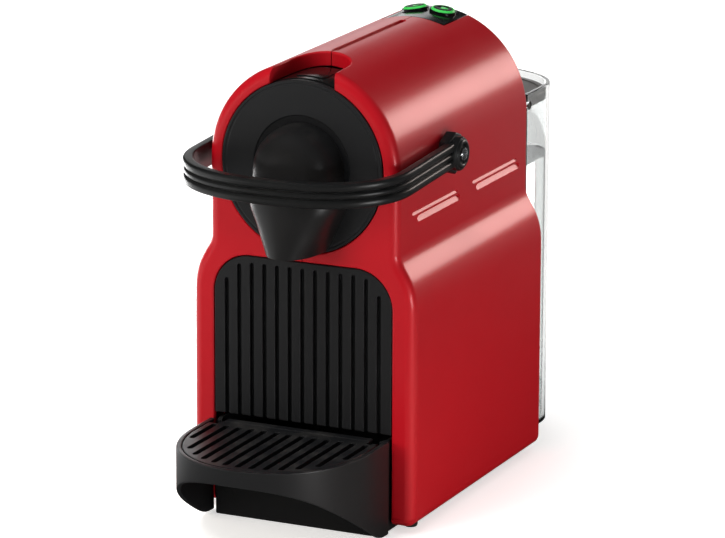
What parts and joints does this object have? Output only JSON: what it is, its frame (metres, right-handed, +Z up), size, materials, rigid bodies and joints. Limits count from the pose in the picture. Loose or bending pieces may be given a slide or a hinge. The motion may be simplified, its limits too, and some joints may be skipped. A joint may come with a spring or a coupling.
{
  "type": "espresso machine",
  "caption": "Compact capsule espresso machine with a drum-shaped head, loop lever, folding cup tray, capsule bin and lift-off water tank.",
  "frame": {"origin": "middle of the machine's footprint, on the table", "axes": "+Z up, -Y towards the user at the cup tray, +X to the right as seen from the front"},
  "size_m": [0.1238, 0.302, 0.2331],
  "materials": {
    "red_casing": "high gloss",
    "black_satin": "satin",
    "black_gloss": "high gloss",
    "grey_plastic": "satin",
    "white_plastic": "satin",
    "rubber": "matt",
    "chrome": "polished",
    "steel": "brushed",
    "aluminium": "cast",
    "silicone": "matt",
    "clear_plastic": "clear, polished",
    "green_light": "translucent, lit",
    "circuit_board": "satin",
    "coil_blue": "satin"
  },
  "bodies": {
    "housing": {"left_shell": "red_casing", "right_shell": "red_casing", "base_plate": "black_satin", "rear_panel": "black_satin", "tank_dock": "black_satin", "spout_cover": "black_satin", "thermostat": "black_satin", "front_disc": "black_gloss", "button_panel": "black_gloss", "inner_frame": "grey_plastic", "valve_seat": "grey_plastic", "brew_frame": "grey_plastic", "pump_body": "grey_plastic", "lever_bush_left": "white_plastic", "lever_bush_right": "white_plastic", "flow_meter": "white_plastic", "cord_inlet": "rubber", "seat_seal": "rubber", "front_foot_left": "rubber", "front_foot_right": "rubber", "rear_foot_left": "rubber", "rear_foot_right": "rubber", "pump_mount_front": "rubber", "pump_mount_rear": "rubber", "extraction_plate": "steel", "heater_block": "aluminium", "coffee_outlet": "silicone", "tank_hose": "silicone", "pump_hose": "silicone", "heater_hose": "silicone", "brew_hose": "silicone", "light_ring_left": "green_light", "light_ring_right": "green_light", "control_board": "circuit_board", "pump_coil": "coil_blue"},
    "lever": {"lever_loop": "black_satin", "lever_cap_left": "chrome", "lever_cap_right": "chrome", "crank_left": "steel", "crank_right": "steel"},
    "carriage": {"capsule_cage": "white_plastic", "cage_seal": "rubber", "piercing_plate": "steel"},
    "con_rods": {"con_rod_left": "steel", "con_rod_right": "steel"},
    "shutter": {"slot_shutter": "black_gloss"},
    "left_button": {"button_left": "black_satin", "button_spring_left": "steel"},
    "right_button": {"button_right": "black_satin", "button_spring_right": "steel"},
    "drip_base": {"drip_base": "black_satin"},
    "tray": {"cup_tray": "black_satin"},
    "grid": {"cup_grid": "black_satin"},
    "bin": {"capsule_bin": "black_satin", "bin_front": "black_satin"},
    "tank": {"water_tank": "clear_plastic", "tank_filter": "white_plastic"},
    "lid": {"tank_lid": "black_satin"},
    "valve": {"tank_valve": "silicone", "valve_spring": "steel"}
  },
  "joints": [
    {"name": "lever_pivot", "type": "hinge", "parent": "housing", "child": "lever", "pos_m": [0, -0.0165, 0.181], "axis": [-1, 0, 0], "range_deg": [0, 100]},
    {"name": "cage_slide", "type": "slide", "parent": "housing", "child": "carriage", "axis": [0, 1, 0], "range_m": [0, 0.0285]},
    {"name": "con_rod_swing", "type": "hinge", "parent": "carriage", "child": "con_rods", "pos_m": [0, -0.0505, 0.181], "axis": [1, 0, 0], "range_deg": [0, 62]},
    {"name": "shutter_slide", "type": "slide", "parent": "housing", "child": "shutter", "axis": [0, 1, 0], "range_m": [0, 0.0285]},
    {"name": "left_button_press", "type": "slide", "parent": "housing", "child": "left_button", "axis": [0.152, 0, -0.9884], "range_m": [0, 0.0015], "stiffness_N_per_m": 600, "springref_m": -0.001, "deforming": ["button_spring_left"]},
    {"name": "right_button_press", "type": "slide", "parent": "housing", "child": "right_button", "axis": [-0.152, 0, -0.9884], "range_m": [0, 0.0015], "stiffness_N_per_m": 600, "springref_m": -0.001, "deforming": ["button_spring_right"]},
    {"name": "drip_base_slide", "type": "slide", "parent": "housing", "child": "drip_base", "axis": [0, -1, 0], "range_m": [0, 0.13]},
    {"name": "tray_fold", "type": "hinge", "parent": "drip_base", "child": "tray", "pos_m": [0, -0.0785, 0.043], "axis": [1, 0, 0], "range_deg": [-90, 0]},
    {"name": "grid_lift", "type": "slide", "parent": "tray", "child": "grid", "axis": [0, 0, 1], "range_m": [0, 0.02]},
    {"name": "bin_slide", "type": "slide", "parent": "drip_base", "child": "bin", "axis": [0, -1, 0], "range_m": [0, 0.145]},
    {"name": "tank_lift", "type": "slide", "parent": "housing", "child": "tank", "axis": [0, 0, 1], "range_m": [0, 0.19]},
    {"name": "lid_hinge", "type": "hinge", "parent": "tank", "child": "lid", "pos_m": [0, 0.0953, 0.1815], "axis": [1, 0, 0], "range_deg": [0, 90]},
    {"name": "valve_drop", "type": "slide", "parent": "tank", "child": "valve", "axis": [0, 0, -1], "range_m": [0, 0.003], "deforming": ["valve_spring"]}
  ],
  "couplings": [
    {"joint": "cage_slide", "follows": "lever_pivot", "m_per_rad": 0.01609},
    {"joint": "con_rod_swing", "follows": "lever_pivot", "ratio": 0.611},
    {"joint": "shutter_slide", "follows": "lever_pivot", "m_per_rad": 0.01609},
    {"joint": "valve_drop", "follows": "tank_lift", "ratio": 0.01578}
  ]
}
